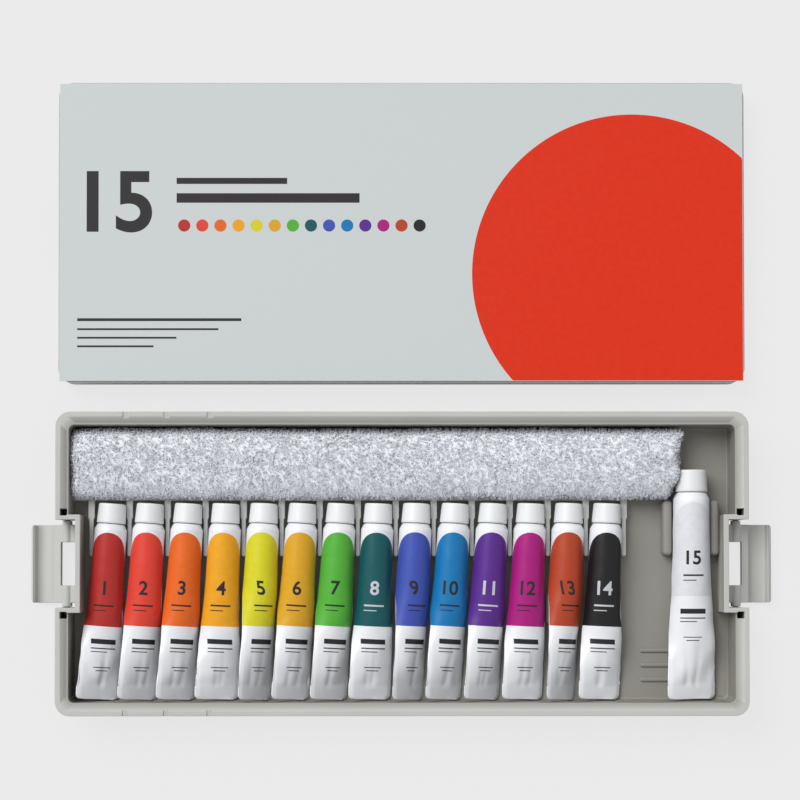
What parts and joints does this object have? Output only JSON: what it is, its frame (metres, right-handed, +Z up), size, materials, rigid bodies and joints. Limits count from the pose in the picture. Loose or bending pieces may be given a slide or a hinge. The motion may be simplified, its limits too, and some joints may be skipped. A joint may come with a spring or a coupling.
{
  "type": "gouache paint set box",
  "caption": "Open flat plastic paint box with end latches, a rack of small capped paint tubes, one larger tube, a rolled towel, and its lid lying behind it.",
  "frame": {"origin": "centre of the tray's underside, on the surface that the box stands on", "axes": "+X to the right along the tray, +Y to the back where the lid lies, +Z up"},
  "size_m": [0.3896, 0.3319, 0.024],
  "materials": {
    "warm_grey_plastic": "fine satin moulded polypropylene",
    "printed_card": null,
    "white_terry": "cotton terry loops",
    "white_cap_plastic": "satin moulded screw cap",
    "tube_carmine": null,
    "tube_scarlet": null,
    "tube_orange": null,
    "tube_deep_yellow": null,
    "tube_lemon_yellow": null,
    "tube_yellow_ochre": null,
    "tube_light_green": null,
    "tube_viridian": null,
    "tube_ultramarine": null,
    "tube_sky_blue": null,
    "tube_violet": null,
    "tube_magenta": null,
    "tube_burnt_sienna": null,
    "tube_jet_black": null,
    "tube_white": null
  },
  "bodies": {
    "tray": {"tray": "warm_grey_plastic", "tube_rack": "warm_grey_plastic"},
    "latch_left": {"latch_left": "warm_grey_plastic"},
    "latch_right": {"latch_right": "warm_grey_plastic"},
    "lid": {"lid_shell": "warm_grey_plastic", "lid_cover_card": "printed_card"},
    "towel": {"towel": "white_terry"},
    "tube_carmine": {"tube_carmine": "tube_carmine"},
    "cap_carmine": {"cap_carmine": "white_cap_plastic"},
    "tube_scarlet": {"tube_scarlet": "tube_scarlet"},
    "cap_scarlet": {"cap_scarlet": "white_cap_plastic"},
    "tube_orange": {"tube_orange": "tube_orange"},
    "cap_orange": {"cap_orange": "white_cap_plastic"},
    "tube_deep_yellow": {"tube_deep_yellow": "tube_deep_yellow"},
    "cap_deep_yellow": {"cap_deep_yellow": "white_cap_plastic"},
    "tube_lemon_yellow": {"tube_lemon_yellow": "tube_lemon_yellow"},
    "cap_lemon_yellow": {"cap_lemon_yellow": "white_cap_plastic"},
    "tube_yellow_ochre": {"tube_yellow_ochre": "tube_yellow_ochre"},
    "cap_yellow_ochre": {"cap_yellow_ochre": "white_cap_plastic"},
    "tube_light_green": {"tube_light_green": "tube_light_green"},
    "cap_light_green": {"cap_light_green": "white_cap_plastic"},
    "tube_viridian": {"tube_viridian": "tube_viridian"},
    "cap_viridian": {"cap_viridian": "white_cap_plastic"},
    "tube_ultramarine": {"tube_ultramarine": "tube_ultramarine"},
    "cap_ultramarine": {"cap_ultramarine": "white_cap_plastic"},
    "tube_sky_blue": {"tube_sky_blue": "tube_sky_blue"},
    "cap_sky_blue": {"cap_sky_blue": "white_cap_plastic"},
    "tube_violet": {"tube_violet": "tube_violet"},
    "cap_violet": {"cap_violet": "white_cap_plastic"},
    "tube_magenta": {"tube_magenta": "tube_magenta"},
    "cap_magenta": {"cap_magenta": "white_cap_plastic"},
    "tube_burnt_sienna": {"tube_burnt_sienna": "tube_burnt_sienna"},
    "cap_burnt_sienna": {"cap_burnt_sienna": "white_cap_plastic"},
    "tube_jet_black": {"tube_jet_black": "tube_jet_black"},
    "cap_jet_black": {"cap_jet_black": "white_cap_plastic"},
    "tube_white": {"tube_white": "tube_white"},
    "cap_white": {"cap_white": "white_cap_plastic"}
  },
  "joints": [
    {"name": "latch_left_hinge", "type": "hinge", "parent": "tray", "child": "latch_left", "pos_m": [-0.1755, 0, 0.009], "axis": [0, 1, 0], "range_deg": [0, 107]},
    {"name": "latch_right_hinge", "type": "hinge", "parent": "tray", "child": "latch_right", "pos_m": [0.1755, 0, 0.009], "axis": [0, -1, 0], "range_deg": [0, 107]},
    {"name": "lid_lift", "type": "slide", "parent": "tray", "child": "lid", "axis": [0, 0, 1], "range_m": [0, 0.12]},
    {"name": "towel_lift", "type": "slide", "parent": "tray", "child": "towel", "axis": [0, 0, 1], "range_m": [0, 0.08]},
    {"name": "tube_carmine_lift", "type": "slide", "parent": "tray", "child": "tube_carmine", "axis": [0, 0, 1], "range_m": [0, 0.06]},
    {"name": "cap_carmine_turn", "type": "hinge", "parent": "tube_carmine", "child": "cap_carmine", "pos_m": [-0.15233, 0.0212, 0.0108], "axis": [0.0756, 0.9971, -0.001], "range_deg": [0, 540]},
    {"name": "tube_scarlet_lift", "type": "slide", "parent": "tray", "child": "tube_scarlet", "axis": [0, 0, 1], "range_m": [0, 0.06]},
    {"name": "cap_scarlet_turn", "type": "hinge", "parent": "tube_scarlet", "child": "cap_scarlet", "pos_m": [-0.13242, 0.0212, 0.0108], "axis": [0.0648, 0.9978, -0.0121], "range_deg": [0, 540]},
    {"name": "tube_orange_lift", "type": "slide", "parent": "tray", "child": "tube_orange", "axis": [0, 0, 1], "range_m": [0, 0.06]},
    {"name": "cap_orange_turn", "type": "hinge", "parent": "tube_orange", "child": "cap_orange", "pos_m": [-0.11242, 0.0212, 0.0108], "axis": [0.0648, 0.9978, -0.0121], "range_deg": [0, 540]},
    {"name": "tube_deep_yellow_lift", "type": "slide", "parent": "tray", "child": "tube_deep_yellow", "axis": [0, 0, 1], "range_m": [0, 0.06]},
    {"name": "cap_deep_yellow_turn", "type": "hinge", "parent": "tube_deep_yellow", "child": "cap_deep_yellow", "pos_m": [-0.09257, 0.0212, 0.0108], "axis": [0.048, 0.9988, 0], "range_deg": [0, 540]},
    {"name": "tube_lemon_yellow_lift", "type": "slide", "parent": "tray", "child": "tube_lemon_yellow", "axis": [0, 0, 1], "range_m": [0, 0.06]},
    {"name": "cap_lemon_yellow_turn", "type": "hinge", "parent": "tube_lemon_yellow", "child": "cap_lemon_yellow", "pos_m": [-0.07257, 0.0212, 0.01079], "axis": [0.048, 0.9985, -0.0254], "range_deg": [0, 540]},
    {"name": "tube_yellow_ochre_lift", "type": "slide", "parent": "tray", "child": "tube_yellow_ochre", "axis": [0, 0, 1], "range_m": [0, 0.06]},
    {"name": "cap_yellow_ochre_turn", "type": "hinge", "parent": "tube_yellow_ochre", "child": "cap_yellow_ochre", "pos_m": [-0.05242, 0.0212, 0.0108], "axis": [0.0648, 0.9978, -0.0121], "range_deg": [0, 540]},
    {"name": "tube_light_green_lift", "type": "slide", "parent": "tray", "child": "tube_light_green", "axis": [0, 0, 1], "range_m": [0, 0.06]},
    {"name": "cap_light_green_turn", "type": "hinge", "parent": "tube_light_green", "child": "cap_light_green", "pos_m": [-0.03243, 0.0212, 0.0108], "axis": [0.0648, 0.9978, -0.0121], "range_deg": [0, 540]},
    {"name": "tube_viridian_lift", "type": "slide", "parent": "tray", "child": "tube_viridian", "axis": [0, 0, 1], "range_m": [0, 0.06]},
    {"name": "cap_viridian_turn", "type": "hinge", "parent": "tube_viridian", "child": "cap_viridian", "pos_m": [-0.01257, 0.0212, 0.0108], "axis": [0.048, 0.9988, 0], "range_deg": [0, 540]},
    {"name": "tube_ultramarine_lift", "type": "slide", "parent": "tray", "child": "tube_ultramarine", "axis": [0, 0, 1], "range_m": [0, 0.06]},
    {"name": "cap_ultramarine_turn", "type": "hinge", "parent": "tube_ultramarine", "child": "cap_ultramarine", "pos_m": [0.00743, 0.0212, 0.01079], "axis": [0.048, 0.9985, -0.0254], "range_deg": [0, 540]},
    {"name": "tube_sky_blue_lift", "type": "slide", "parent": "tray", "child": "tube_sky_blue", "axis": [0, 0, 1], "range_m": [0, 0.06]},
    {"name": "cap_sky_blue_turn", "type": "hinge", "parent": "tube_sky_blue", "child": "cap_sky_blue", "pos_m": [0.02757, 0.0212, 0.0108], "axis": [0.0648, 0.9978, -0.0121], "range_deg": [0, 540]},
    {"name": "tube_violet_lift", "type": "slide", "parent": "tray", "child": "tube_violet", "axis": [0, 0, 1], "range_m": [0, 0.06]},
    {"name": "cap_violet_turn", "type": "hinge", "parent": "tube_violet", "child": "cap_violet", "pos_m": [0.04757, 0.0212, 0.0108], "axis": [0.0648, 0.9978, -0.0121], "range_deg": [0, 540]},
    {"name": "tube_magenta_lift", "type": "slide", "parent": "tray", "child": "tube_magenta", "axis": [0, 0, 1], "range_m": [0, 0.06]},
    {"name": "cap_magenta_turn", "type": "hinge", "parent": "tube_magenta", "child": "cap_magenta", "pos_m": [0.06743, 0.0212, 0.0108], "axis": [0.048, 0.9988, 0], "range_deg": [0, 540]},
    {"name": "tube_burnt_sienna_lift", "type": "slide", "parent": "tray", "child": "tube_burnt_sienna", "axis": [0, 0, 1], "range_m": [0, 0.06]},
    {"name": "cap_burnt_sienna_turn", "type": "hinge", "parent": "tube_burnt_sienna", "child": "cap_burnt_sienna", "pos_m": [0.08743, 0.0212, 0.01079], "axis": [0.048, 0.9985, -0.0254], "range_deg": [0, 540]},
    {"name": "tube_jet_black_lift", "type": "slide", "parent": "tray", "child": "tube_jet_black", "axis": [0, 0, 1], "range_m": [0, 0.06]},
    {"name": "cap_jet_black_turn", "type": "hinge", "parent": "tube_jet_black", "child": "cap_jet_black", "pos_m": [0.10739, 0.0212, 0.0108], "axis": [0.0445, 0.999, 0], "range_deg": [0, 540]},
    {"name": "tube_white_lift", "type": "slide", "parent": "tray", "child": "tube_white", "axis": [0, 0, 1], "range_m": [0, 0.06]},
    {"name": "cap_white_turn", "type": "hinge", "parent": "tube_white", "child": "cap_white", "pos_m": [0.1519, 0.0376, 0.0118], "axis": [0, 0.9999, 0.0107], "range_deg": [0, 540]}
  ]
}
